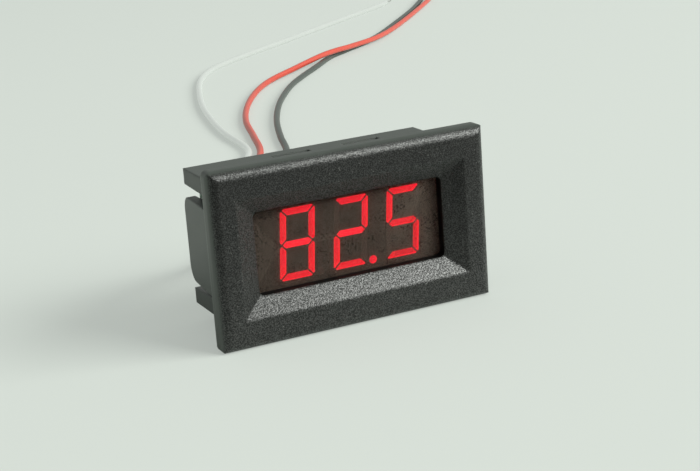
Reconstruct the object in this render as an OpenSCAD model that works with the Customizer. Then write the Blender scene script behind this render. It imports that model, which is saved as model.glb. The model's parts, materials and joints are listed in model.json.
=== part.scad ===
// Snap-in digital panel meter: a moulded housing with a sloped display window, a three-digit
// LED display, its circuit board behind, and three flying leads.
//
// Millimetres. X runs to the right as the display is read, Y runs back through the panel and Z
// is up. The origin is the middle of the panel cut-out, in the plane of the panel's front face.
// Most pieces are drawn lying on their backs, with local X right, local Y up and local Z out of
// the display, and stand() turns them upright.

/* [Bezel] */
// Width of the bezel
bezel_w = 48; // [46:0.5:70]
// Height of the bezel
bezel_h = 29; // [27:0.5:45]
// Thickness of the bezel in front of the panel
bezel_t = 3; // [2.6:0.1:5]
// Radius of the bezel's four corners, seen from the front
bezel_corner_r = 1; // [0.3:0.1:3]
// Radius of the bezel's rounded front edge
bezel_edge_r = 1.7; // [0.6:0.1:2.2]

/* [Window] */
// Width of the window at the foot of the ramps
window_w = 33; // [31:0.25:33.5]
// Height of the window at the foot of the ramps
window_h = 13.5; // [13:0.25:15]
// Radius of the window's corners
window_r = 0.8; // [0.3:0.1:1.5]
// Depth of the ramps below the bezel's front
ramp_depth = 2; // [1:0.1:2.4]
// Width of the side ramps, seen from the front
ramp_w = 3.4; // [2:0.1:4.5]
// Height of the upper and lower ramps, seen from the front
ramp_h = 2.9; // [1.5:0.1:4]
// Length of the straight window edge behind the ramps
window_edge = 1.6; // [1.2:0.1:2.5]

/* [Case] */
// Width of the case behind the panel
case_w = 42; // [41:0.25:44]
// Height of the case behind the panel
case_h = 22.7; // [22:0.1:25]
// Depth of the case behind the panel
case_depth = 16; // [15:0.25:24]
// Thickness of the case walls
wall = 1.2; // [0.8:0.1:1.4]

/* [Snap tongues] */
// Height of each side tongue
tongue_h = 14.2; // [8:0.2:15]
// Thickness of each tongue at its free end
tongue_t = 1.1; // [0.7:0.05:1.4]
// How far the free end stands out from the case side
tongue_tail_out = 0.35; // [0.2:0.05:0.8]
// How far the tongue's crest stands out from the case side
tongue_crest_out = 1.3; // [0.9:0.05:1.5]
// Distance of the crest behind the panel's front face
tongue_crest_y = 3; // [2.6:0.1:5]
// Radius of the free end's corners
tongue_corner_r = 2.6; // [1:0.1:4]
// Gap beside the tongue at its root
slot_root_gap = 1.1; // [0.6:0.1:1.3]
// Gap beside the tongue at its free end
slot_tail_gap = 1.7; // [1.4:0.1:2]

/* [Board catches] */
// Width of each catch and of the wall opening in front of it
catch_w = 6.7; // [3:0.1:9]
// Distance between the two catches of a wall
catch_pitch = 12.7; // [10:0.1:16]
// Sideways place of the middle between the two catches
catch_mid_x = 3; // [-4:0.5:4]
// How far a catch stands in from the wall
catch_reach = 0.7; // [0.5:0.05:0.9]
// Slack between a catch and the board
catch_slack = 0.05; // [0.02:0.01:0.2]

/* [Display] */
// Thickness of the tinted film behind the window
film_t = 0.25; // [0.15:0.05:0.5]
// How far the film reaches past the window
film_lap = 1.2; // [0.5:0.1:1.6]
// Depth of the display block
display_depth = 8; // [6:0.25:9]
// Clearance between the display block and the case's side walls
display_side_gap = 1; // [0.8:0.1:1.6]
// Clearance between the display block and the case's inner ribs
display_rib_gap = 0.35; // [0.2:0.05:0.8]
// Height of a digit
digit_h = 11.6; // [9:0.2:12.6]
// Width of a digit
digit_w = 6; // [4.5:0.1:6.6]
// Distance between digits
digit_pitch = 9.4; // [8.8:0.1:9.8]
// Sideways place of the middle digit
digit_mid_x = 0.75; // [-0.8:0.05:0.8]
// Width of a segment
stroke = 1.05; // [0.7:0.05:1.5]
// Gap between neighbouring segments
segment_gap = 0.28; // [0.12:0.02:0.4]
// Size of the bevel at a digit's four outer corners
corner_cut = 0.55; // [0.4:0.05:0.9]
// Distance of a digit's two middle joints from its edge
joint_in = 0.32; // [0.2:0.02:0.6]
// Slant of the digits, in degrees
slant = 4.8; // [0:0.2:8]
// Radius of a decimal point
point_r = 0.66; // [0.4:0.02:0.8]
// Distance of a decimal point's middle from its digit's edge
point_out = 1.05; // [0.8:0.05:1.2]
// Distance of a decimal point's foot below its digit's
point_drop = 0.2; // [0:0.05:0.3]
// Depth of the light wells in the display block
well_depth = 0.6; // [0.3:0.1:1.5]
// Clearance round a segment in its light well
well_gap = 0.03; // [0.02:0.01:0.08]

/* [Circuit board] */
// Thickness of the circuit board
board_t = 1.2; // [0.8:0.1:1.6]
// Depth of the board's rear face inside the case's rear edge
board_inset = 2.6; // [2.4:0.1:3.6]
// Clearance between the board and the case walls
board_gap = 0.25; // [0.15:0.05:0.4]
// How far the inner ribs stand in from the wall
rib_reach = 0.8; // [0.6:0.05:1.1]
// Width of an inner rib
rib_w = 1.2; // [0.8:0.1:2]
// Distance of a rib from the case's middle
rib_x = 16; // [15:0.25:17.5]

/* [Display pins] */
// Width of a square display pin
pin_w = 0.5; // [0.3:0.05:0.6]
// Distance between neighbouring pins
pin_pitch = 2.54; // [2:0.01:2.6]
// Distance between the two rows of pins
pin_rows = 15.24; // [14.4:0.02:16]
// Length of pin that stands out behind the board
pin_out = 1.3; // [1:0.1:1.6]
// Radius of a drilled hole in the board
drill_r = 0.45; // [0.42:0.01:0.55]
// Radius of a solder cone at the board
solder_r = 0.8; // [0.6:0.05:1]
// Height of a solder cone
solder_h = 0.8; // [0.5:0.05:0.95]

/* [Controller chip] */
// Length of the chip's body
chip_l = 9.9; // [9.6:0.1:11]
// Width of the chip's body
chip_w = 3.9; // [3:0.1:5]
// Thickness of the chip's body
chip_t = 1.45; // [1:0.05:1.6]
// Distance between neighbouring chip leads
chip_pitch = 1.27; // [1:0.01:1.3]
// Width of a chip lead
chip_lead_w = 0.42; // [0.3:0.02:0.6]
// Height of the chip's body above the board
chip_stand = 0.1; // [0.05:0.01:0.2]

/* [Small parts] */
// Length of a chip resistor or capacitor with its end caps
smd_l = 2; // [1.6:0.1:2.2]
// Width of a chip resistor or capacitor
smd_w = 1.25; // [0.8:0.05:1.4]
// Thickness of a chip resistor
resistor_t = 0.5; // [0.35:0.05:0.7]
// Thickness of a chip capacitor
capacitor_t = 0.9; // [0.6:0.05:1.2]
// Length of a metal end cap
cap_l = 0.4; // [0.25:0.05:0.5]
// Thickness of the metal end cap's wrap
cap_wrap = 0.04; // [0.02:0.01:0.08]

/* [Trimmer] */
// Side of the trimmer's square base
trimmer_side = 4.2; // [3.8:0.1:5]
// Thickness of the trimmer's base
trimmer_t = 1.1; // [0.9:0.05:1.4]
// Radius of the trimmer's rotor
rotor_r = 1.45; // [1:0.05:1.6]
// Running clearance round the rotor
rotor_gap = 0.05; // [0.03:0.01:0.09]
// Depth of the rotor's seat in the base
rotor_seat = 0.7; // [0.5:0.05:0.8]
// How far the rotor stands out of the base
rotor_out = 0.25; // [0.1:0.05:0.5]
// Width of the rotor's screwdriver slot
rotor_slot = 0.5; // [0.3:0.05:0.7]

/* [Leads] */
// Diameter of a lead over its insulation
lead_d = 1.6; // [1.2:0.1:1.8]
// Diameter of a lead's bare conductor
conductor_d = 0.6; // [0.4:0.05:0.8]
// Length of bare conductor between the board and the insulation
bare_at_board = 1.5; // [1.2:0.1:2]
// Length of stripped conductor at a lead's far end
bare_at_end = 5; // [2:0.5:8]

/* [Hidden] */

fine = 48;    // sides drawn on large curves
coarse = 24;  // sides drawn on small curves
over = 1;     // how far a cutting shape runs past what it cuts
sunk = 0.3;   // how far joined shapes of one moulding run into each other

// Levels along local Z, from the front to the back
ramp_foot_z = bezel_t - ramp_depth;
window_back_z = ramp_foot_z - window_edge;
display_front_z = window_back_z - film_t;
display_back_z = display_front_z - display_depth;
board_back_z = -case_depth + board_inset;
board_front_z = board_back_z + board_t;
catch_z = board_back_z - catch_slack;
insulation_z = board_back_z - bare_at_board;

// Inside of the case, and what fits in it
inner_w = case_w - 2 * wall;
inner_h = case_h - 2 * wall;
board_w = inner_w - 2 * board_gap;
board_h = inner_h - 2 * board_gap;
display_w = inner_w - 2 * display_side_gap;
display_h = inner_h - 2 * (rib_reach + display_rib_gap);

// Side tongues and the slots beside them
tongue_root_z = window_back_z - sunk;
tongue_half = tongue_h / 2;
tongue_lead_y = 1.2;     // where the slope up to the crest starts
tongue_crest_flat = 0.8; // length of the crest itself

// The digits: each segment is [kind, sideways, upward], and is mirrored where a sign is negative
SEGMENTS = [
  ["end", 1, 1], ["side", 1, 1], ["side", 1, -1], ["end", 1, -1],
  ["side", -1, -1], ["side", -1, 1], ["middle", 1, 1]];
DIGITS = [[1, 1, 1, 1, 1, 1, 1], [1, 1, 0, 1, 1, 0, 1], [1, 0, 1, 1, 0, 1, 1]];
POINTS = [0, 1, 0];

PINS_PER_ROW = 6;

// Places of the rear parts on the board: [x, y] or [x, y, turn in degrees]
CHIP_AT = [10.6, 0];
REGULATOR_AT = [-7.4, -3];
DIODE_AT = [-0.6, 3.6];
TANTALUM_AT = [-0.9, -2.8];
TRIMMER_AT = [-15, -4.2];
red_x = -9.5;
black_x = -6;
white_x = -13;
lead_z = 4.6;
LEAD_HOLES = [[red_x, lead_z], [black_x, lead_z], [white_x, lead_z]];
RESISTORS_AT = [
  [17.8, -5.4, 90], [17.8, -1.8, 90], [17.8, 1.8, 90], [17.8, 5.4, 90],
  [9.2, 5.6, 0], [12.4, 5.6, 0], [-16.8, 1.2, 90], [-10.6, 0.2, 0]];
CAPACITORS_AT = [[9.2, -5.6, 0], [12.4, -5.6, 0], [-3.6, 0.2, 0], [3.2, 0.2, 90]];

// Other small parts: [length, width, thickness], and their metal tabs
REGULATOR_SIZE = [4.5, 2.5, 1.5];
DIODE_SIZE = [4.3, 2.6, 1.7];
TANTALUM_SIZE = [3.5, 2.8, 1.8];
tab_t = 0.25;
tab_out = 0.7;

// Routes of the three leads. Each leaves the board level, sags to the surface that the bezel's
// foot stands on, and lies on it, as [x, y, level of its middle].
lead_y = -insulation_z;
straight = 4;                  // how far a lead runs straight out before it sags
laid = -bezel_h / 2 + lead_d / 2;
beside = lead_d + 0.2;         // between the middles of two leads that lie side by side
crossing = laid + 1.1 * lead_d; // the red lead's middle where it passes over the black one
RED_ROUTE = [
  [red_x, lead_y, lead_z], [red_x, lead_y + straight, lead_z], [-9.2, 25, 3.2],
  [-8.2, 31, -1.5], [-6.3, 37, -8], [-3.6, 43, -12.2], [-0.4, 50, laid], [6, 62, laid],
  [14.5, 80, laid], [25, 101, laid], [34, 118, laid], [39.5, 135, laid], [45, 153, laid],
  [53, 171, laid], [63, 188, laid], [72, 199, laid + 0.2], [83, 207, laid + 0.9],
  [96, 216, crossing], [104, 221.4, crossing], [113, 228, laid + 1.2], [129, 241, laid + 0.5],
  [147, 261, laid], [168, 286, laid], [184, 306, laid]];
BLACK_ROUTE = [
  [black_x, lead_y, lead_z], [black_x, lead_y + straight, lead_z], [-5.5, 25, 3.2],
  [-4.1, 31, -1.5], [-1.7, 37, -8], [1.4, 43, -12.2], [5, 50, laid], [11.5, 62, laid],
  [20.5, 79, laid], [30.5, 97, laid], [39, 114, laid], [44.5, 130, laid], [51, 147, laid],
  [59, 164, laid], [67, 178, laid], [75, 190, laid], [84, 201, laid], [92, 210, laid],
  [102, 221.6, laid], [113 - 0.7 * beside, 228 + 0.8 * beside, laid],
  [129 - 0.7 * beside, 241 + 0.7 * beside, laid], [147 - 0.8 * beside, 261 + 0.7 * beside, laid],
  [168 - 0.9 * beside, 286 + 0.7 * beside, laid], [184 - 0.9 * beside, 309, laid]];
WHITE_ROUTE = [
  [white_x, lead_y, lead_z], [white_x, lead_y + straight, lead_z], [-12.9, 25, 3.2],
  [-12.3, 31, -1.5], [-10.8, 37, -8], [-8.4, 43, -12.2], [-5.4, 50, laid], [0.2, 62, laid],
  [8.5, 79, laid], [19, 98, laid], [28.5, 113, laid], [33, 124, laid], [35, 142, laid],
  [38, 158, laid], [43, 178, laid], [50, 199, laid], [57, 216, laid], [65, 229, laid],
  [75, 239, laid], [89, 250, laid], [109, 265, laid], [135, 285, laid], [160, 304, laid],
  [168, 311, laid]];
lead_sides = 8;

// ---------------------------------------------------------------- helpers

// Turns what is drawn lying on its back upright
module stand() rotate([90, 0, 0]) children();

// A rectangle with round corners, centred
module round_rect(w, h, r) {
  square([w - 2 * r, h], center = true);
  square([w, h - 2 * r], center = true);
  for (sx = [-1, 1], sy = [-1, 1])
    translate([sx * (w / 2 - r), sy * (h / 2 - r)]) circle(r = r, $fn = fine);
}

// The section of a slab that lies on the X axis, with its two upper edges rounded
module slab_section(w, t, e) {
  translate([-w / 2, 0]) square([w, t - e]);
  translate([-w / 2 + e, 0]) square([w - 2 * e, t]);
  for (s = [-1, 1]) translate([s * (w / 2 - e), t - e]) circle(r = e, $fn = fine);
}

// A slab with round corners and a rounded edge all round its front, mitred at the corners
module round_slab(w, h, t, r, e) {
  intersection() {
    rotate([90, 0, 0]) linear_extrude(h, center = true) slab_section(w, t, e);
    rotate([90, 0, 90]) linear_extrude(w, center = true) slab_section(h, t, e);
    linear_extrude(t) round_rect(w, h, r);
  }
}

// An endless wedge-sided trough that widens from half width a at level z0, across run b in rise c
module trough(a, b, c, z0, length) {
  grow = b * over / c;
  rotate([90, 0, 0]) linear_extrude(length, center = true)
    polygon([[-a, z0], [a, z0], [a + b + grow, z0 + c + over], [-a - b - grow, z0 + c + over]]);
}

// A block of [length, width, height] that stands on the board's rear face, at [x, y] and turned
module on_board(at) {
  turn = len(at) > 2 ? at[2] : 0;
  translate([at[0], at[1], board_back_z]) rotate([180, 0, turn]) children();
}

module block(size, lift = 0) translate([-size[0] / 2, -size[1] / 2, lift]) cube(size);

// ---------------------------------------------------------------- housing

module ramp_recess() {
  intersection() {
    trough(window_w / 2, ramp_w, ramp_depth, ramp_foot_z, bezel_h);
    rotate([0, 0, 90]) trough(window_h / 2, ramp_h, ramp_depth, ramp_foot_z, bezel_w);
  }
}

module window_hole() {
  translate([0, 0, window_back_z - over]) linear_extrude(window_edge + over)
    round_rect(window_w, window_h, window_r);
}

module case_shell() {
  difference() {
    translate([-case_w / 2, -case_h / 2, -case_depth]) cube([case_w, case_h, case_depth + sunk]);
    translate([-inner_w / 2, -inner_h / 2, -case_depth - over])
      cube([inner_w, inner_h, case_depth + over + window_back_z]);
  }
}

// The open side of the case on which a tongue stands, wider at the case's rear
module side_opening() {
  root = tongue_half + slot_root_gap;
  tail = tongue_half + slot_tail_gap;
  translate([inner_w / 2 - sunk, 0, 0]) rotate([90, 0, 90]) linear_extrude(wall + 2 * sunk)
    polygon([
      [-root, tongue_root_z], [root, tongue_root_z],
      [tail, -case_depth - over], [-tail, -case_depth - over]]);
}

// A springy tongue: rooted at the bezel, proud at its crest, free and round-cornered at the rear
module tongue() {
  side = case_w / 2;
  tail = side + tongue_tail_out;
  crest = side + tongue_crest_out;
  intersection() {
    rotate([90, 0, 0]) linear_extrude(tongue_h, center = true)
      polygon([
        [inner_w / 2, tongue_root_z + sunk], [side, tongue_root_z + sunk],
        [side, min(tongue_root_z, -tongue_lead_y)],
        [crest, -tongue_crest_y], [crest, -tongue_crest_y - tongue_crest_flat],
        [tail, -case_depth], [tail - tongue_t, -case_depth]]);
    translate([0, 0, 0]) rotate([90, 0, 90]) linear_extrude(bezel_w)
      union() {
        translate([-tongue_half, -case_depth + tongue_corner_r])
          square([tongue_h, case_depth]);
        translate([-tongue_half + tongue_corner_r, -case_depth])
          square([tongue_h - 2 * tongue_corner_r, case_depth]);
        for (s = [-1, 1])
          translate([s * (tongue_half - tongue_corner_r), -case_depth + tongue_corner_r])
            circle(r = tongue_corner_r, $fn = fine);
      }
  }
}

// The opening in the upper wall that shapes a catch, as long as the board is thick
module catch_opening() {
  translate([-catch_w / 2, inner_h / 2 - sunk, catch_z])
    cube([catch_w, wall + 2 * sunk, board_t + catch_slack + sunk]);
}

// A wedge inside the upper wall that holds the board's rear face
module catch_wedge() {
  y = inner_h / 2;
  rotate([90, 0, 90]) linear_extrude(catch_w, center = true)
    polygon([
      [y + sunk, catch_z], [y - catch_reach, catch_z],
      [y, catch_z - board_inset * 0.7], [y + sunk, catch_z - board_inset * 0.7]]);
}

// A rib inside the upper wall that the board's front face rests on
module board_rib() {
  translate([-rib_w / 2, inner_h / 2 - rib_reach, board_front_z])
    cube([rib_w, rib_reach + sunk, window_back_z + sunk - board_front_z]);
}

module at_catches()
  for (s = [-1, 1]) translate([catch_mid_x + s * catch_pitch / 2, 0, 0]) children();

module housing() {
  color([0.12, 0.12, 0.12]) stand() {
    difference() {
      union() {
        round_slab(bezel_w, bezel_h, bezel_t, bezel_corner_r, bezel_edge_r);
        case_shell();
      }
      ramp_recess();
      window_hole();
      translate([-inner_w / 2, -inner_h / 2, -case_depth - over])
        cube([inner_w, inner_h, case_depth + over + window_back_z]);
      for (s = [0, 1]) mirror([s, 0, 0]) side_opening();
      for (s = [0, 1]) mirror([0, s, 0]) at_catches() catch_opening();
    }
    for (s = [0, 1]) mirror([s, 0, 0]) tongue();
    for (s = [0, 1]) mirror([0, s, 0]) {
      at_catches() catch_wedge();
      for (side = [-1, 1]) translate([side * rib_x, 0, 0]) board_rib();
    }
  }
}

// ---------------------------------------------------------------- display

module window_film() {
  color([0.3, 0.26, 0.22]) stand() translate([0, 0, display_front_z]) linear_extrude(film_t)
    square([window_w + 2 * film_lap, window_h + 2 * film_lap], center = true);
}

// Leans a point of a digit to the right as it rises
function lean(p) = [p[0] + p[1] * tan(slant), p[1]];

// The corners of a digit's top segment, upper right segment or middle segment, made larger all
// round by grow. Their ends are cut at 45 degrees.
function segment_corners(kind, grow) =
  let (
    w = digit_w / 2,
    h = digit_h / 2,
    in = stroke + grow,
    gap = (segment_gap / 2 - grow) * sqrt(2),
    cut = corner_cut - grow * sqrt(2),
    joint_x = w - joint_in,
    half = stroke / 2 + grow,
    tip = joint_x - gap)
  kind == "end" ? [
    [w - in - gap, h - in], [w - (cut + gap) / 2, h - (cut - gap) / 2], [w - cut - grow, h + grow],
    [cut + grow - w, h + grow], [(cut + gap) / 2 - w, h - (cut - gap) / 2], [in + gap - w, h - in]] :
  kind == "side" ? [
    [w - in, h - in - gap], [w - (cut - gap) / 2, h - (cut + gap) / 2], [w + grow, h - cut - grow],
    [w + grow, joint_in + grow + gap], [joint_x, gap], [w - in, in - joint_in + gap]] : [
    [tip, 0], [tip - half, half], [half - tip, half],
    [-tip, 0], [half - tip, -half], [tip - half, -half]];

function segment_outline(segment, grow) =
  [for (p = segment_corners(segment[0], grow)) lean([segment[1] * p[0], segment[2] * p[1]])];

function point_middle() = lean([digit_w / 2 + point_out, point_r - point_drop - digit_h / 2]);

// The segments and decimal points whose state is lit, grown by grow, as plates of thickness t
module display_shapes(lit, grow, t) {
  for (d = [0 : len(DIGITS) - 1]) translate([digit_mid_x + (d - 1) * digit_pitch, 0, 0]) {
    for (s = [0 : len(SEGMENTS) - 1]) if (DIGITS[d][s] == lit)
      linear_extrude(t) polygon(segment_outline(SEGMENTS[s], grow));
    if (POINTS[d] == lit)
      translate(point_middle()) cylinder(r = point_r + grow, h = t, $fn = coarse);
  }
}

module display_block() {
  color([0.42, 0.4, 0.38]) stand() difference() {
    translate([-display_w / 2, -display_h / 2, display_back_z])
      cube([display_w, display_h, display_depth]);
    for (lit = [0, 1])
      translate([0, 0, display_front_z - well_depth])
        display_shapes(lit, well_gap, well_depth + over);
  }
}

module segments(lit) translate([0, 0, display_front_z - well_depth])
  display_shapes(lit, 0, well_depth);

module lit_segments() color([1, 0.15, 0.15]) stand() segments(1);

module dark_segments() color([0.5, 0.35, 0.32]) stand() segments(0);

module at_pins()
  for (s = [-1, 1], i = [0 : PINS_PER_ROW - 1])
    translate([(i - (PINS_PER_ROW - 1) / 2) * pin_pitch, s * pin_rows / 2, 0]) children();

module display_pins() {
  length = display_back_z - board_back_z + pin_out;
  color("silver") stand() at_pins()
    translate([0, 0, display_back_z - length / 2]) cube([pin_w, pin_w, length], center = true);
}

// ---------------------------------------------------------------- circuit board

module at_lead_holes() for (p = LEAD_HOLES) translate(p) children();

module circuit_board() {
  color([0.1, 0.35, 0.2]) stand() difference() {
    translate([-board_w / 2, -board_h / 2, board_back_z]) cube([board_w, board_h, board_t]);
    at_pins() drill();
    at_lead_holes() drill();
  }
}

module drill() translate([0, 0, board_back_z - over])
  cylinder(r = drill_r, h = board_t + 2 * over, $fn = coarse);

module solder_cone(tip_r)
  translate([0, 0, board_back_z - solder_h])
    cylinder(r1 = tip_r, r2 = solder_r, h = solder_h, $fn = coarse);

module pin_solder() {
  color([0.75, 0.75, 0.77]) stand() at_pins() difference() {
    solder_cone(pin_w * 0.8);
    translate([0, 0, board_back_z]) cube([pin_w, pin_w, 2 * board_inset], center = true);
  }
}

// ---------------------------------------------------------------- rear parts

module controller_chip() {
  color([0.08, 0.08, 0.08]) stand() on_board(CHIP_AT) block([chip_l, chip_w, chip_t], chip_stand);
}

// A gull-wing lead, drawn in the plane across the chip's long side
module gull_lead() {
  mid = chip_stand + chip_t / 2;
  foot = 0.15;
  rotate([90, 0, 90]) linear_extrude(chip_lead_w, center = true)
    polygon([
      [chip_w / 2, mid], [chip_w / 2 + 0.4, mid], [chip_w / 2 + 0.6, foot],
      [chip_w / 2 + 1.05, foot], [chip_w / 2 + 1.05, 0], [chip_w / 2 + 0.45, 0],
      [chip_w / 2 + 0.25, mid - foot], [chip_w / 2, mid - foot]]);
}

module controller_leads() {
  per_side = 8;
  color("silver") stand() on_board(CHIP_AT)
    for (s = [0, 1], i = [0 : per_side - 1])
      mirror([0, s, 0]) translate([(i - (per_side - 1) / 2) * chip_pitch, 0, 0]) gull_lead();
}

module regulator() {
  color([0.1, 0.1, 0.1]) stand() on_board(REGULATOR_AT) block(REGULATOR_SIZE);
}

// Three legs on one long side and the wide cooling tab on the other
module regulator_tabs() {
  l = REGULATOR_SIZE[0];
  w = REGULATOR_SIZE[1];
  color("silver") stand() on_board(REGULATOR_AT) {
    for (i = [-1, 0, 1]) translate([i * l / 3, w / 2 + tab_out / 2, 0])
      block([0.45, tab_out, tab_t]);
    translate([0, -w / 2 - tab_out / 2, 0]) block([l * 0.4, tab_out, tab_t]);
  }
}

// A moulded part with a metal tab at each end
module end_tabs(size)
  for (s = [-1, 1]) translate([s * (size[0] / 2 + tab_out / 2), 0, 0])
    block([tab_out, size[1] * 0.55, tab_t]);

module diode() color([0.1, 0.1, 0.1]) stand() on_board(DIODE_AT) block(DIODE_SIZE);

module diode_tabs() color("silver") stand() on_board(DIODE_AT) end_tabs(DIODE_SIZE);

module tantalum_capacitor()
  color([0.8, 0.6, 0.15]) stand() on_board(TANTALUM_AT) block(TANTALUM_SIZE);

module tantalum_tabs() color("silver") stand() on_board(TANTALUM_AT) end_tabs(TANTALUM_SIZE);

// The body of a chip resistor or capacitor, between its end caps
module smd_body(t) block([smd_l - 2 * cap_l, smd_w, t], cap_wrap);

module smd_caps(t)
  for (s = [-1, 1]) translate([s * (smd_l - cap_l) / 2, 0, 0])
    block([cap_l, smd_w, t + 2 * cap_wrap]);

module resistors()
  color([0.1, 0.1, 0.12]) stand() for (at = RESISTORS_AT) on_board(at) smd_body(resistor_t);

module capacitors()
  color([0.65, 0.52, 0.38]) stand() for (at = CAPACITORS_AT) on_board(at) smd_body(capacitor_t);

module chip_end_caps() color("silver") stand() {
  for (at = RESISTORS_AT) on_board(at) smd_caps(resistor_t);
  for (at = CAPACITORS_AT) on_board(at) smd_caps(capacitor_t);
}

// ---------------------------------------------------------------- trimmer

module trimmer_base() {
  color([0.85, 0.85, 0.82]) stand() on_board(TRIMMER_AT) difference() {
    block([trimmer_side, trimmer_side, trimmer_t]);
    translate([0, 0, trimmer_t - rotor_seat])
      cylinder(r = rotor_r + rotor_gap, h = rotor_seat + over, $fn = fine);
  }
}

module trimmer_rotor() {
  floor_z = trimmer_t - rotor_seat + rotor_gap;
  top_z = trimmer_t + rotor_out;
  slot_h = (top_z - floor_z) / 2;
  color([0.8, 0.65, 0.3]) stand() on_board(TRIMMER_AT) difference() {
    translate([0, 0, floor_z]) cylinder(r = rotor_r, h = top_z - floor_z, $fn = fine);
    for (turn = [0, 90]) rotate([0, 0, turn])
      block([rotor_r * 1.5, rotor_slot, slot_h + over], top_z - slot_h);
  }
}

// Two terminals on one side of the base and one on the other
module trimmer_terminals() {
  side = trimmer_side / 2 + tab_out / 2;
  color("silver") stand() on_board(TRIMMER_AT)
    for (at = [[-1.1, side], [1.1, side], [0, -side]])
      translate(at) block([0.9, tab_out, 0.5]);
}

// ---------------------------------------------------------------- leads

function unit(v) = v / norm(v);

function direction(path, i) =
  unit(path[min(i + 1, len(path) - 1)] - path[max(i - 1, 0)]);

// The corners of the ring round point i of the path, square to the path there
function ring(path, i, r) =
  let (
    ahead = i == 0 ? [0, 1, 0] : direction(path, i),
    side = unit(cross(ahead, [0, 0, 1])),
    up = cross(side, ahead))
  [for (k = [0 : lead_sides - 1])
    path[i] + r * (cos(360 * k / lead_sides) * side + sin(360 * k / lead_sides) * up)];

module tube(path, r) {
  n = len(path);
  m = lead_sides;
  polyhedron(
    points = [for (i = [0 : n - 1]) each ring(path, i, r)],
    faces = concat(
      [[for (k = [0 : m - 1]) k]],
      [for (i = [0 : n - 2], k = [0 : m - 1])
        [i * m + k, (i + 1) * m + k, (i + 1) * m + (k + 1) % m, i * m + (k + 1) % m]],
      [[for (k = [m - 1 : -1 : 0]) (n - 1) * m + k]]));
}

module red_lead() color([0.85, 0.1, 0.08]) tube(RED_ROUTE, lead_d / 2);

module black_lead() color([0.1, 0.1, 0.1]) tube(BLACK_ROUTE, lead_d / 2);

module white_lead() color([0.92, 0.92, 0.9]) tube(WHITE_ROUTE, lead_d / 2);

// The bare conductors from the board's front face to the insulation
module board_wire_ends() {
  color("silver") stand() at_lead_holes() translate([0, 0, insulation_z])
    cylinder(d = conductor_d, h = board_front_z - insulation_z, $fn = coarse);
}

module lead_solder() {
  color([0.75, 0.75, 0.77]) stand() at_lead_holes() difference() {
    solder_cone(conductor_d);
    translate([0, 0, insulation_z])
      cylinder(d = conductor_d, h = 2 * bare_at_board, $fn = coarse);
  }
}

// The stripped and tinned far end of each lead, in line with its last stretch
module far_wire_ends() {
  for (path = [RED_ROUTE, BLACK_ROUTE, WHITE_ROUTE]) {
    last = len(path) - 1;
    v = direction(path, last);
    color("silver") translate(path[last])
      rotate([0, acos(v[2]), atan2(v[1], v[0])])
        cylinder(d = conductor_d, h = bare_at_end, $fn = coarse);
  }
}

housing();
window_film();
display_block();
lit_segments();
dark_segments();
display_pins();
circuit_board();
pin_solder();
controller_chip();
controller_leads();
regulator();
regulator_tabs();
diode();
diode_tabs();
resistors();
capacitors();
chip_end_caps();
tantalum_capacitor();
tantalum_tabs();
trimmer_base();
trimmer_rotor();
trimmer_terminals();
red_lead();
black_lead();
white_lead();
board_wire_ends();
lead_solder();
far_wire_ends();
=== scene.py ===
"""Looks of the snap-in digital panel meter: camera, floor, pale tent and lamp, the three leads
as laid hook-up wire with stranded ends, the glow of the digits, and a material for every CAD
node.

Units are metres. X runs right, Y back through the panel, and Z up."""

import json
import math

import bmesh
import bpy
from mathutils import Matrix, Vector


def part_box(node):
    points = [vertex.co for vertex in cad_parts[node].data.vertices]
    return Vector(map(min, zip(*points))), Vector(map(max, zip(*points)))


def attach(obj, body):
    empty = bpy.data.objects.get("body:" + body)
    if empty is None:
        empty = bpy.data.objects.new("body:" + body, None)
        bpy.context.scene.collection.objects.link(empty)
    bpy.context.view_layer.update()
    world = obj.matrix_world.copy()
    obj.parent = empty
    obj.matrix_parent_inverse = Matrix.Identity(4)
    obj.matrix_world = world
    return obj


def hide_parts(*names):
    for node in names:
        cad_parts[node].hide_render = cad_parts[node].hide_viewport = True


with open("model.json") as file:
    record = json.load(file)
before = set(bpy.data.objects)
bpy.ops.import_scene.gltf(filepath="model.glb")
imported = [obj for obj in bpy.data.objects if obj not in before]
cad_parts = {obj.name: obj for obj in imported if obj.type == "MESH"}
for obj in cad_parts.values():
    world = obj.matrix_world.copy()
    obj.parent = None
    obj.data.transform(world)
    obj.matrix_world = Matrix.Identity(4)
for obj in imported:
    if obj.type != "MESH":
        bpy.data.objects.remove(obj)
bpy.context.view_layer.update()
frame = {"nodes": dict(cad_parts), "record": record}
nodes = frame["nodes"]
MM = 0.001

PALE = (0.56, 0.59, 0.56)  # the card that the meter stands on, and the tent round it
SEEN = (0.675, 0.725, 0.68)  # the card's evenly lit colour
DIM = (0.05, 0.052, 0.05)  # the side that the photographer stands on, seen in the plastic

# ---------------------------------------------------------------- camera

CAMERA_PLACE = Vector((-103.65, -221.2, 70.8)) * MM
CAMERA_TURN = math.radians(25.137)  # to the right of straight ahead, +Y
CAMERA_DOWN = math.radians(16.227)
CAMERA_ROLL = math.radians(-4.234)
SENSOR_WIDTH = 36
CAMERA_LENS = 82.29


def make_camera():
    data = bpy.data.cameras.new("camera")
    data.sensor_width = SENSOR_WIDTH
    data.lens = CAMERA_LENS
    data.clip_start = 0.01
    data.clip_end = 20
    camera = bpy.data.objects.new("camera", data)
    level = Matrix.Rotation(-CAMERA_TURN, 4, "Z") @ Matrix.Rotation(
        math.pi / 2 - CAMERA_DOWN, 4, "X"
    )
    camera.matrix_world = (
        Matrix.Translation(CAMERA_PLACE) @ level @ Matrix.Rotation(CAMERA_ROLL, 4, "Z")
    )
    bpy.context.scene.collection.objects.link(camera)
    bpy.context.scene.camera = camera


# ---------------------------------------------------------------- node materials


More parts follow.
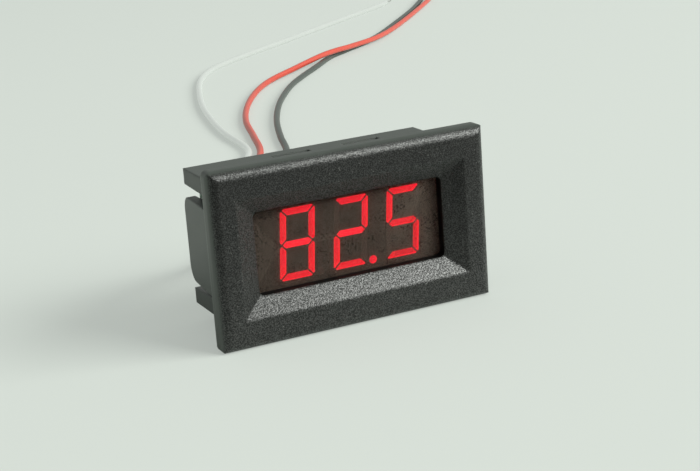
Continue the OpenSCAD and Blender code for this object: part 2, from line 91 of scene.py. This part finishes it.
class Nodes:
    """A node tree whose nodes are added by name, with each socket given a value or a link."""

    def __init__(self, tree):
        self.tree = tree

    def add(self, kind, sockets=None, **settings):
        node = self.tree.nodes.new("ShaderNode" + kind)
        for name, value in settings.items():
            setattr(node, name, value)
        for name, value in (sockets or {}).items():
            self.put(node, name, value)
        return node

    def put(self, node, name, value):
        socket = node.inputs[name]
        if isinstance(value, bpy.types.NodeSocket):
            self.tree.links.new(value, socket)
        elif socket.type == "RGBA" and len(value) == 3:
            socket.default_value = (*value, 1)
        else:
            socket.default_value = value

    def math(self, operation, a, b=0.0):
        return self.add("Math", {0: a, 1: b}, operation=operation).outputs[0]

    def times(self, a, b):
        return self.math("MULTIPLY", a, b)

    def spread(self, value, low, high, to_low=0.0, to_high=1.0):
        """value carried smoothly from low..high to to_low..to_high."""
        sockets = {
            "Value": value,
            "From Min": low,
            "From Max": high,
            "To Min": to_low,
            "To Max": to_high,
        }
        return self.add("MapRange", sockets, interpolation_type="SMOOTHSTEP").outputs["Result"]

    def blend(self, share, a, b):
        """A number between a and b."""
        return self.add("Mix", {"Factor": share, 2: a, 3: b}).outputs[0]

    def mix(self, share, a, b):
        """A colour between a and b."""
        return self.add("Mix", {"Factor": share, 6: a, 7: b}, data_type="RGBA").outputs[2]


class Recipe(Nodes):
    """The node tree of a new material, with the place on the object at hand."""

    def __init__(self, name):
        self.material = bpy.data.materials.new(name)
        self.material.use_nodes = True
        super().__init__(self.material.node_tree)
        self.tree.nodes.clear()
        self.out = self.add("OutputMaterial")
        self.place = self.add("TexCoord").outputs["Object"]

    def axes(self):
        """The place's three parts: across to the right, back, and up."""
        return self.add("SeparateXYZ", {0: self.place}).outputs

    def noise(self, size, detail=2.0, roughness=0.5, vector=None):
        """Noise whose features are about size across."""
        sockets = {
            "Vector": vector or self.place,
            "Scale": 1 / size,
            "Detail": detail,
            "Roughness": roughness,
        }
        return self.add("TexNoise", sockets).outputs["Fac"]

    def flat(self):
        """The face's own direction, without the drift that smooth shading adds to wide faces."""
        return self.add("NewGeometry").outputs["True Normal"]

    def bump(self, height, depth, strength=1.0, under=None):
        sockets = {"Height": height, "Distance": depth, "Strength": strength}
        if under is not None:
            sockets["Normal"] = under
        return self.add("Bump", sockets).outputs["Normal"]

    def finish(self, shader):
        """The material, with that node as its surface."""
        self.tree.links.new(shader.outputs[0], self.out.inputs[0])
        return self.material

    def surface(self, **sockets):
        """The principled surface, with sockets named in words joined by underscores."""
        named = {name.replace("_", " "): value for name, value in sockets.items()}
        return self.finish(self.add("BsdfPrincipled", named))


BEZEL_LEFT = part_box("housing")[0].x
RAMP_OUT = (19.9 * MM, 9.65 * MM)  # half sizes of the ramps' outer edge on the bezel's front
RAMP_FOOT = -1 * MM  # where the ramps end and the window's own wall starts
FRONT_FADE = (-2.75 * MM, -1.9 * MM)  # where the front's grain gives way to satin
FADE = 0.02 * MM  # half the width of a change of finish inside the bezel
GRAIN = 0.4 * MM  # width of the front's coarser grain
GRIT = 0.19 * MM  # and of its finer


def within_ramps(make, edge, fade_end):
    """1 inside the ramps' outline scaled by edge, and 0 outside it scaled by fade_end."""
    across, _, up = make.axes()
    sideways = make.math("DIVIDE", make.math("ABSOLUTE", across), RAMP_OUT[0])
    upward = make.math("DIVIDE", make.math("ABSOLUTE", up), RAMP_OUT[1])
    return make.spread(make.math("MAXIMUM", sideways, upward), edge, fade_end, 1, 0)


def grained_share(make):
    """1 where the mould was spark-eroded: on the bezel's front and down its ramps."""
    back = make.axes()[1]
    on_front = make.spread(back, *FRONT_FADE, 1, 0)
    ahead_of_foot = make.spread(back, RAMP_FOOT - FADE, RAMP_FOOT + FADE, 1, 0)
    return make.math("MAXIMUM", on_front, make.times(within_ramps(make, 0.98, 1.04), ahead_of_foot))


def painted_shade_wall_share(make):
    """1 on the short wall between the ramps' foot and the film, which is painted near black as
    painted shade.
    """
    past_foot = make.spread(make.axes()[1], RAMP_FOOT - FADE, RAMP_FOOT + FADE)
    return make.times(within_ramps(make, 0.9, 0.95), past_foot)


def painted_sheen_left(make):
    """How much painted light the bezel's left side gets: painted paler all over, most as a painted
    highlight along its rear edge.
    """
    across, back, _ = make.axes()
    left_side = make.spread(across, BEZEL_LEFT + 0.1 * MM, BEZEL_LEFT + 0.4 * MM, 1, 0)
    rear_edge_glint = make.times(
        make.spread(back, -0.7 * MM, -0.2 * MM), make.spread(back, 0, 0.1 * MM, 1, 0)
    )
    return make.times(left_side, make.spread(rear_edge_glint, 0, 1, 0.4, 1))


def plastic_colour(make, grained, painted_shade_wall, cloud):
    """Near black on the grain, with pale flecks, and a cloudy green-grey on the satin, with painted
    light on the bezel's left side and painted shade on the window's wall.
    """
    front = make.mix(cloud, (0.009, 0.0093, 0.0087), (0.0125, 0.013, 0.0122))
    sides = make.mix(cloud, (0.033, 0.0388, 0.034), (0.05, 0.0585, 0.051))
    # painted light: the bezel's left side paler, with a painted highlight along its rear edge
    sides = make.mix(painted_sheen_left(make), sides, (0.085, 0.095, 0.085))
    # painted shade: the window's recessed wall painted near black
    sides = make.mix(painted_shade_wall, sides, (0.002, 0.002, 0.002))
    fleck = make.times(make.spread(make.noise(0.24 * MM, 0), 0.8, 0.84, 0, 0.25), grained)
    return make.mix(fleck, make.mix(grained, sides, front), (0.4, 0.4, 0.38))


def black_plastic():
    """Moulded black: spark-eroded grain on the front and the ramps, satin on the sides and case.

    The grain's facets glint in a coat of their own, over a smoother body."""
    make = Recipe("black_plastic")
    grained = grained_share(make)
    painted_shade_wall = painted_shade_wall_share(make)
    cloud = make.noise(5 * MM, 3)
    grit = make.noise(GRIT, 1)
    height = make.math("ADD", make.noise(GRAIN, 2, 0.6), make.times(grit, 0.5))
    strength = make.spread(grained, 0, 1, 0.05, 1)
    edge = make.add("Bevel", {"Radius": 0.55 * MM}, samples=4).outputs[0]
    facets = make.spread(grit, 0.38, 0.65, 0.03, 0.93)
    satin = make.spread(painted_shade_wall, 0, 1, 0.3, 0)
    roughness = make.math("ADD", make.spread(grained, 0, 1, 0.42, 0.4), make.times(cloud, 0.1))
    return make.surface(
        Base_Color=plastic_colour(make, grained, painted_shade_wall, cloud),
        Roughness=roughness,
        Normal=make.bump(height, 0.018 * MM, strength, under=edge),
        Specular_IOR_Level=0.2,
        Coat_Weight=make.blend(grained, satin, facets),
        Coat_IOR=1.75,
        Coat_Roughness=0.4,
        Coat_Normal=make.bump(height, 0.06 * MM, strength, under=edge),
    )


def tinted_film():
    """Smoked polyester with a matt, pitted front, which lets 60% of the digits' light out."""
    make = Recipe("tinted_film")
    grit = make.noise(0.3 * MM, 2, 0.7)
    cloud = make.noise(1.6 * MM, 4, 0.7)
    colour = make.mix(cloud, (0.052, 0.037, 0.029), (0.072, 0.053, 0.042))
    worn = make.spread(make.noise(2.2 * MM, 2), 0.38, 0.62, 0.25, 1)
    pits = make.times(worn, make.spread(grit, 0.52, 0.62))
    colour = make.mix(pits, colour, (0.003, 0.002, 0.002))
    speck = make.spread(make.noise(0.22 * MM, 0), 0.8, 0.84, 0, 0.5)
    colour = make.mix(speck, colour, (0.3, 0.28, 0.25))
    return make.surface(
        Base_Color=colour,
        Roughness=0.6,
        Specular_IOR_Level=0.15,
        Alpha=0.4,
        Normal=make.bump(grit, 0.02 * MM, 0.5, under=make.flat()),
    )


def painted_light_right(make, colour):
    """Painted light: the display's front is painted paler toward its right end, to lift the shade
    that the bezel's right ramp casts there.
    """
    share = make.spread(make.axes()[0], 5 * MM, 15 * MM, 0, 0.9)
    return make.mix(share, colour, (0.42, 0.33, 0.27))


def display_grey():
    """The digit block's case: streaked grey-brown, with clusters of fine dark pits."""
    make = Recipe("display_grey")
    cloud = make.noise(2.5 * MM, 4, 0.6)
    streaks = make.add("Mapping", {"Vector": make.place, "Scale": (6, 1, 1)}).outputs[0]
    bands = make.noise(3 * MM, 2, 0.5, vector=streaks)
    colour = make.mix(cloud, (0.105, 0.078, 0.062), (0.14, 0.104, 0.083))
    colour = make.mix(make.spread(bands, 0.5, 0.7, 0, 0.3), colour, (0.13, 0.1, 0.08))
    # painted light: paler toward the right end, against the right ramp's shade
    colour = painted_light_right(make, colour)
    worn = make.spread(make.noise(2 * MM, 2), 0.38, 0.6, 0.1, 1)
    pits = make.spread(make.noise(0.32 * MM, 1), 0.54, 0.62)
    colour = make.mix(make.times(worn, pits), colour, (0.01, 0.008, 0.006))
    return make.surface(
        Base_Color=colour, Roughness=0.7, Specular_IOR_Level=0.2, Normal=make.flat()
    )


def lit_red():
    """A lit segment: red that drifts a little toward orange."""
    make = Recipe("lit_red")
    cloud = make.noise(2.2 * MM, 1)
    colour = make.mix(cloud, (1.0, 0.0, 0.036), (1.0, 0.016, 0.02))
    return make.surface(
        Base_Color=(0.2, 0.005, 0.005),
        Specular_IOR_Level=0.0,
        Emission_Color=colour,
        Emission_Strength=1.9,
    )


def dark_red():
    """An unlit segment, a shade redder than the case round it."""
    make = Recipe("dark_red")
    cloud = make.noise(1.5 * MM, 2)
    colour = make.mix(cloud, (0.15, 0.088, 0.068), (0.185, 0.11, 0.084))
    # painted light: paler toward the right end, against the right ramp's shade
    return make.surface(Base_Color=painted_light_right(make, colour), Roughness=0.5)


def metal(name, light, dark, low, high, patch):
    """Tin or brass: dulled in patches, with roughness from low to high."""
    make = Recipe(name)
    cloud = make.noise(patch, 3, 0.6)
    return make.surface(
        Base_Color=make.mix(cloud, light, dark),
        Metallic=1.0,
        Roughness=make.spread(cloud, 0.3, 0.7, low, high),
        Normal=make.bump(make.noise(patch / 4, 2), 0.02 * MM, 0.5),
    )


COPPER_PATCH = MM / 0.42  # about the width of a patch of copper on the board


def board_green():
    """Solder mask over poured copper, which darker lines part into angular patches."""
    make = Recipe("board_green")
    flat = make.add("Mapping", {"Vector": make.place, "Rotation": (math.pi / 2, 0, 0)})
    nearest, second = (
        make.add(
            "TexVoronoi",
            {"Vector": flat.outputs[0], "Scale": 1 / COPPER_PATCH},
            voronoi_dimensions="2D",
            distance="CHEBYCHEV",
            feature=feature,
        ).outputs["Distance"]
        for feature in ("F1", "F2")
    )
    poured = make.spread(make.math("SUBTRACT", second, nearest), 0.05, 0.09)
    cloud = make.noise(4 * MM, 2)
    copper = make.mix(cloud, (0.012, 0.1, 0.038), (0.018, 0.135, 0.052))
    colour = make.mix(poured, (0.006, 0.055, 0.022), copper)
    return make.surface(
        Base_Color=colour,
        Roughness=0.3,
        Coat_Weight=0.4,
        Coat_Roughness=0.15,
        Normal=make.bump(poured, 0.02 * MM, 0.5),
    )


def moulded(name, low, high, roughness, patch=0.6 * MM, depth=0.02 * MM):
    """An even body colour that drifts between two shades, with a fine moulded texture."""
    make = Recipe(name)
    return make.surface(
        Base_Color=make.mix(make.noise(patch, 3), low, high),
        Roughness=roughness,
        Normal=make.bump(make.noise(patch / 5, 2), depth, 0.5),
    )


def insulation(name, low, high, painted_lift=0.0):
    """Soft PVC with a waxy sheen; the last argument sets a glow in the card's colour, painted light
    that lifts the shade on a pale lead's sides.
    """
    make = Recipe(name)
    drift = make.noise(9 * MM, 2)
    return make.surface(
        Base_Color=make.mix(drift, low, high),
        Roughness=0.38,
        Coat_Weight=0.15,
        Coat_Roughness=0.3,
        # painted light: a glow in the card's colour over the lead's shaded sides
        Emission_Color=SEEN,
        Emission_Strength=painted_lift,
        Normal=make.bump(make.noise(0.5 * MM, 2), 0.015 * MM, 0.5),
    )


MATERIALS = {
    "black_plastic": black_plastic,
    "tinted_film": tinted_film,
    "display_grey": display_grey,
    "lit_red": lit_red,
    "dark_red": dark_red,
    "tinned_metal": lambda: metal(
        "tinned_metal", (0.78, 0.78, 0.76), (0.55, 0.55, 0.54), 0.25, 0.45, 0.5 * MM
    ),
    "board_green": board_green,
    "solder": lambda: metal(
        "solder", (0.8, 0.8, 0.8), (0.62, 0.62, 0.63), 0.15, 0.4, 0.4 * MM
    ),
    "chip_black": lambda: moulded("chip_black", (0.012, 0.012, 0.013), (0.02, 0.02, 0.02), 0.5),
    "resistor_black": lambda: moulded(
        "resistor_black", (0.015, 0.015, 0.018), (0.03, 0.03, 0.035), 0.3
    ),
    "ceramic_tan": lambda: moulded("ceramic_tan", (0.3, 0.2, 0.11), (0.4, 0.28, 0.16), 0.45),
    "tantalum_yellow": lambda: moulded(
        "tantalum_yellow", (0.62, 0.36, 0.04), (0.7, 0.44, 0.07), 0.4
    ),
    "trimmer_white": lambda: moulded(
        "trimmer_white", (0.62, 0.6, 0.54), (0.72, 0.7, 0.64), 0.4
    ),
    "rotor_brass": lambda: metal(
        "rotor_brass", (0.72, 0.52, 0.24), (0.55, 0.38, 0.16), 0.25, 0.45, 0.6 * MM
    ),
    "red_insulation": lambda: insulation("red_insulation", (0.46, 0.05, 0.03), (0.56, 0.07, 0.045)),
    "black_insulation": lambda: insulation(
        "black_insulation", (0.034, 0.043, 0.038), (0.05, 0.061, 0.054)
    ),
    # painted light: the white lead glows to lift the shade on its sides
    "white_insulation": lambda: insulation(
        "white_insulation", (0.16, 0.17, 0.16), (0.19, 0.2, 0.19), painted_lift=0.55
    ),
}


def paint_nodes(made):
    """Gives each CAD node the material that the record's slot names for it."""
    for part in frame["record"]["subparts"]:
        slots = nodes[part["node"]].data.materials
        slots.clear()
        slots.append(made[part["material_slot"]])


# ---------------------------------------------------------------- leads

LEAD_D = 1.6 * MM
WIRE_D = 0.6 * MM
BARE_END = 5 * MM  # stripped from each lead's far end
FLOOR_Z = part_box("housing")[0].z
LAID = FLOOR_Z / MM + LEAD_D / MM / 2  # middle of a lead that lies on the floor
BESIDE = 1.8  # between the middles of two leads that lie side by side
CROSSING = LAID + 1.76  # middle of the red lead where it passes over the black one
# The three routes of the CAD leads, in millimetres: [x, y, level of the middle]
ROUTES = {
    "red": [
        (-9.5, 14.9, 4.6), (-9.5, 18.9, 4.6), (-9.2, 25, 3.2), (-8.2, 31, -1.5),
        (-6.3, 37, -8), (-3.6, 43, -12.2), (-0.4, 50, LAID), (6, 62, LAID),
        (14.5, 80, LAID), (25, 101, LAID), (34, 118, LAID), (39.5, 135, LAID), (45, 153, LAID),
        (53, 171, LAID), (63, 188, LAID), (72, 199, LAID + 0.2), (83, 207, LAID + 0.9),
        (96, 216, CROSSING), (104, 221.4, CROSSING), (113, 228, LAID + 1.2),
        (129, 241, LAID + 0.5), (147, 261, LAID), (168, 286, LAID), (184, 306, LAID),
    ],
    "black": [
        (-6, 14.9, 4.6), (-6, 18.9, 4.6), (-5.5, 25, 3.2), (-4.1, 31, -1.5),
        (-1.7, 37, -8), (1.4, 43, -12.2), (5, 50, LAID), (11.5, 62, LAID), (20.5, 79, LAID),
        (30.5, 97, LAID), (39, 114, LAID), (44.5, 130, LAID), (51, 147, LAID), (59, 164, LAID),
        (67, 178, LAID), (75, 190, LAID), (84, 201, LAID), (92, 210, LAID),
        (102, 221.6, LAID), (113 - 0.7 * BESIDE, 228 + 0.8 * BESIDE, LAID),
        (129 - 0.7 * BESIDE, 241 + 0.7 * BESIDE, LAID),
        (147 - 0.8 * BESIDE, 261 + 0.7 * BESIDE, LAID),
        (168 - 0.9 * BESIDE, 286 + 0.7 * BESIDE, LAID), (184 - 0.9 * BESIDE, 309, LAID),
    ],
    "white": [
        (-13, 14.9, 4.6), (-13, 18.9, 4.6), (-12.9, 25, 3.2), (-12.3, 31, -1.5),
        (-10.8, 37, -8), (-8.4, 43, -12.2), (-5.4, 50, LAID), (0.2, 62, LAID),
        (8.5, 79, LAID), (19, 98, LAID), (28.5, 113, LAID), (33, 124, LAID), (35, 142, LAID),
        (38, 158, LAID), (43, 178, LAID), (50, 199, LAID), (57, 216, LAID),
        (65, 229, LAID), (75, 239, LAID), (89, 250, LAID), (109, 265, LAID),
        (135, 285, LAID), (160, 304, LAID), (168, 311, LAID),
    ],
}
STEPS = 12  # points drawn on each span of a route


def smooth(points):
    """The curve through the points, kept from dipping below the laid level between them."""
    points = [Vector(p) for p in points]
    last = len(points) - 1
    line = []
    for i in range(last):
        a, b, c, d = (
            points[k] for k in (max(i - 1, 0), i, i + 1, min(i + 2, last))
        )
        for k in range(STEPS):
            t = k / STEPS
            p = 0.5 * (
                2 * b
                + t * (c - a)
                + t * t * (2 * a - 5 * b + 4 * c - d)
                + t**3 * (3 * b - a - 3 * c + d)
            )
            line.append(Vector((p.x, p.y, max(p.z, LAID))) * MM)
    return line + [points[-1] * MM]


def make_lead(colour, material):
    """One lead as a round wire, with the line of its middle and its length."""
    line = smooth(ROUTES[colour])
    data = bpy.data.curves.new(f"{colour}_hookup_wire", "CURVE")
    data.dimensions = "3D"
    data.bevel_depth = LEAD_D / 2
    data.bevel_resolution = 5
    data.use_fill_caps = True
    spline = data.splines.new("POLY")
    spline.points.add(len(line) - 1)
    for point, place in zip(spline.points, line, strict=True):
        point.co = (*place, 1)
    spline.use_smooth = True
    lead = bpy.data.objects.new(f"{colour}_hookup_wire", data)
    data.materials.append(material)
    bpy.context.scene.collection.objects.link(lead)
    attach(lead, "meter")
    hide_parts(f"{colour}_lead")
    length = sum((b - a).length for a, b in zip(line, line[1:]))
    return lead, line, length


STRANDS_ROUND = 6  # twisted round one straight strand
STRAND_D = WIRE_D / 3
TWIST = 260  # turns in a metre
STRAND_SIDES = 6
STRAND_RINGS = 24


def strands(name, ends, material, node):
    """Bare ends of stranded wire: each is seven fine strands twisted together and tinned."""
    mesh = bmesh.new()
    for start, stop in ends:
        ahead = (stop - start).normalized()
        side = ahead.orthogonal().normalized()
        other = ahead.cross(side)
        long = (stop - start).length
        for strand in range(STRANDS_ROUND + 1):
            out = 0 if strand == STRANDS_ROUND else STRAND_D
            hoops = []
            for ring in range(STRAND_RINGS + 1):
                along = long * ring / STRAND_RINGS
                turn = 2 * math.pi * (strand / STRANDS_ROUND + along * TWIST)
                middle = (
                    start
                    + ahead * along
                    + out * (math.cos(turn) * side + math.sin(turn) * other)
                )
                hoop = []
                for corner in range(STRAND_SIDES):
                    angle = 2 * math.pi * corner / STRAND_SIDES
                    rim = math.cos(angle) * side + math.sin(angle) * other
                    hoop.append(mesh.verts.new(middle + rim * STRAND_D / 2))
                hoops.append(hoop)
            for low, high in zip(hoops, hoops[1:]):
                for k in range(STRAND_SIDES):
                    n = (k + 1) % STRAND_SIDES
                    mesh.faces.new((low[k], low[n], high[n], high[k]))
            mesh.faces.new(reversed(hoops[0]))
            mesh.faces.new(hoops[-1])
    return put_mesh(name, mesh, material, node)


def put_mesh(name, mesh, material, *stands_for):
    """A smooth-shaded piece that rides on the meter, in place of the nodes that it stands for."""
    data = bpy.data.meshes.new(name)
    mesh.normal_update()
    mesh.to_mesh(data)
    mesh.free()
    data.polygons.foreach_set("use_smooth", [True] * len(data.polygons))
    data.materials.append(material)
    piece = bpy.data.objects.new(name, data)
    bpy.context.scene.collection.objects.link(piece)
    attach(piece, "meter")
    if stands_for:
        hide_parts(*stands_for)
    return piece


def make_leads(made):
    laid = {}
    for colour in ROUTES:
        laid[colour] = make_lead(colour, made[f"{colour}_insulation"])
    ends = []
    for _, line, _ in laid.values():
        ahead = (line[-1] - line[-2]).normalized()
        ends.append((line[-1], line[-1] + ahead * BARE_END))
    bare = strands("tinned_far_ends", ends, made["tinned_metal"], "far_wire_ends")


# ---------------------------------------------------------------- glow of the lit digits

GLOW_REACH = 0.42 * MM
GLOW_STEP = 0.2 * MM
GLOW_FRONT = 0.01 * MM  # how far in front of the digits' face the glow is drawn
GLOW_MARGIN = 6 * GLOW_REACH
GLOW_LEVEL = 0.06


def edges_of(node):
    """The outline of a node's front faces, as pairs of points (x, z)."""
    mesh = nodes[node].data
    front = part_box(node)[0].y
    count = {}
    for face in mesh.polygons:
        corners = [mesh.vertices[v].co for v in face.vertices]
        if all(abs(c.y - front) < 0.001 * MM for c in corners):
            flat = [(round(c.x, 7), round(c.z, 7)) for c in corners]
            for a, b in zip(flat, flat[1:] + flat[:1]):
                key = tuple(sorted((a, b)))
                count[key] = count.get(key, 0) + 1
    return [(Vector(a), Vector(b)) for (a, b), used in count.items() if used == 1]


def distance(point, a, b):
    """From a point to the nearest place on the line between a and b."""
    run = b - a
    share = max(0.0, min(1.0, (point - a).dot(run) / max(run.length_squared, 1e-18)))
    return (point - a - run * share).length


def make_glow():
    """Light that the diffusing face carries past each lit segment, stored point by point."""
    make = Recipe("digit_glow")
    amount = make.add("VertexColor", layer_name="glow").outputs["Color"]
    clear = make.add("BsdfTransparent")
    light = make.add("Emission", {"Color": (1.0, 0.02, 0.02), "Strength": amount})
    material = make.finish(make.add("AddShader", {0: clear.outputs[0], 1: light.outputs[0]}))

    low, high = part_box("lit_segments")
    outline = edges_of("lit_segments")
    across = int((high.x - low.x + 2 * GLOW_MARGIN) / GLOW_STEP)
    upward = int((high.z - low.z + 2 * GLOW_MARGIN) / GLOW_STEP)
    mesh = bmesh.new()
    strength = []
    rows = []
    for j in range(upward + 1):
        row = []
        for i in range(across + 1):
            x = low.x - GLOW_MARGIN + i * GLOW_STEP
            z = low.z - GLOW_MARGIN + j * GLOW_STEP
            near = min(distance(Vector((x, z)), a, b) for a, b in outline)
            strength.append(math.exp(-near / GLOW_REACH))
            row.append(mesh.verts.new((x, low.y - GLOW_FRONT, z)))
        rows.append(row)
    for a, b in zip(rows, rows[1:]):
        for k in range(across):
            mesh.faces.new((a[k], a[k + 1], b[k + 1], b[k]))
    glow = put_mesh("digit_glow", mesh, material)
    layer = glow.data.color_attributes.new("glow", "FLOAT_COLOR", "POINT")
    for value, share in zip(layer.data, strength, strict=True):
        value.color = (share * GLOW_LEVEL,) * 3 + (1,)


# ---------------------------------------------------------------- stage

FLOOR_SIZE = 6
SHADOW_LIFT = 0.5  # the share of a shadow's depth that the camera doesn't see
TENT_LEVEL = 0.9
FLOOR_FADE = (-0.07, -0.01)  # the floor ahead of the meter turns dim, in the plastic, over this
KEY_TOWARD = (0.68, -0.58, 0.54)  # from the meter: to the front right, about 30 degrees up
KEY_AWAY = 2.4
KEY_SIZE = (1.9, 1.2)
KEY_POWER = 96
KEY_COLOUR = (0.97, 1, 0.95)


def pale_floor():
    """Matt card whose shadows the camera sees at half their depth, as in a light tent."""
    make = Recipe("floor_pale")
    rays = make.add("LightPath").outputs
    ahead = make.spread(make.axes()[1], *FLOOR_FADE, 1, 0)
    gloom = make.times(rays["Is Glossy Ray"], ahead)
    card = make.add("BsdfDiffuse", {"Color": make.mix(gloom, PALE, DIM)})
    lift = make.add("Emission", {"Color": SEEN, "Strength": 1.0})
    share = make.times(rays["Is Camera Ray"], SHADOW_LIFT)
    return make.finish(
        make.add("MixShader", {0: share, 1: card.outputs[0], 2: lift.outputs[0]})
    )


def make_floor():
    mesh = bmesh.new()
    bmesh.ops.create_grid(mesh, x_segments=1, y_segments=1, size=FLOOR_SIZE / 2)
    data = bpy.data.meshes.new("floor")
    mesh.to_mesh(data)
    mesh.free()
    floor = bpy.data.objects.new("floor", data)
    floor.location.z = FLOOR_Z
    data.materials.append(pale_floor())
    bpy.context.scene.collection.objects.link(floor)


def make_world():
    """An even pale tent, which the plastic mirrors as dim toward the front."""
    world = bpy.data.worlds.new("studio")
    bpy.context.scene.world = world
    world.use_nodes = True
    make = Nodes(world.node_tree)
    direction = make.add("SeparateXYZ", {0: make.add("TexCoord").outputs["Generated"]})
    ahead = make.add(
        "MapRange", {"Value": direction.outputs[1], "From Min": 0.1, "From Max": -0.3}
    )
    gloom = make.times(ahead.outputs[0], make.add("LightPath").outputs["Is Glossy Ray"])
    background = make.tree.nodes["Background"]
    make.put(background, "Color", make.mix(gloom, PALE, DIM))
    make.put(background, "Strength", TENT_LEVEL)


def make_key_lamp():
    """The one soft lamp, which faces the meter."""
    data = bpy.data.lights.new("key_front_right", "AREA")
    data.shape = "RECTANGLE"
    data.size, data.size_y = KEY_SIZE
    data.energy = KEY_POWER
    data.color = KEY_COLOUR
    lamp = bpy.data.objects.new("key_front_right", data)
    toward = Vector(KEY_TOWARD).normalized()
    lamp.location = toward * KEY_AWAY
    lamp.rotation_mode = "QUATERNION"
    lamp.rotation_quaternion = toward.to_track_quat("Z", "Y")
    bpy.context.scene.collection.objects.link(lamp)


# ---------------------------------------------------------------- all of it

make_camera()
bpy.context.scene.view_settings.view_transform = "Standard"
finishes = {name: make() for name, make in MATERIALS.items()}
paint_nodes(finishes)
make_leads(finishes)
make_glow()
make_floor()
make_world()
make_key_lamp()

bpy.context.view_layer.update()
